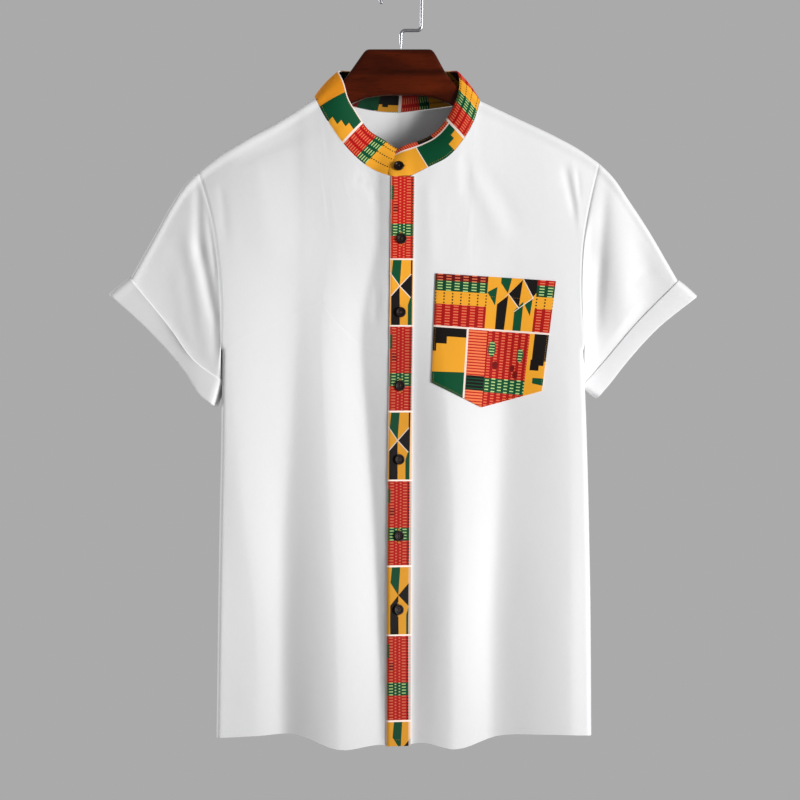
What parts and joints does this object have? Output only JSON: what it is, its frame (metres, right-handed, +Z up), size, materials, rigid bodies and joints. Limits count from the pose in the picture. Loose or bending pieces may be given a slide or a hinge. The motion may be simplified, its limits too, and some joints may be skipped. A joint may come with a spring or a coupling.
{
  "type": "band-collar short-sleeved shirt with kente-print trim on a wooden hanger",
  "caption": "White short-sleeved button-front shirt with a band collar, turned-up cuffs and kente-print collar, placket and chest pocket, hanging on a wooden hanger with a wire hook.",
  "frame": {"origin": "inside of the hook's top, where a rail or peg carries the hanger", "axes": "+Z up along the hook's stem, -Y the way the shirt's front faces, +X to the wearer's left"},
  "size_m": [0.6587, 0.1046, 0.8674],
  "materials": {
    "shirt_cloth": "smooth fine white poplin, soft sheen",
    "print_cloth": "kente-style print in gold, red, green and black on smooth cotton",
    "button_plastic": "polished dark brown",
    "hanger_wood": "mahogany stain under clear lacquer",
    "hook_wire": "polished plated wire"
  },
  "bodies": {
    "root": {"front_right": "shirt_cloth", "front_left": "shirt_cloth", "back": "shirt_cloth", "sleeve_right": "shirt_cloth", "sleeve_left": "shirt_cloth", "cuff_right": "shirt_cloth", "cuff_left": "shirt_cloth", "collar_band": "print_cloth", "placket": "print_cloth", "button_stand": "print_cloth", "pocket": "print_cloth", "button_collar": "button_plastic", "button_1": "button_plastic", "button_2": "button_plastic", "button_3": "button_plastic", "button_4": "button_plastic", "button_5": "button_plastic", "button_6": "button_plastic", "hanger_wood": "hanger_wood", "hanger_hook": "hook_wire"}
  },
  "joints": []
}
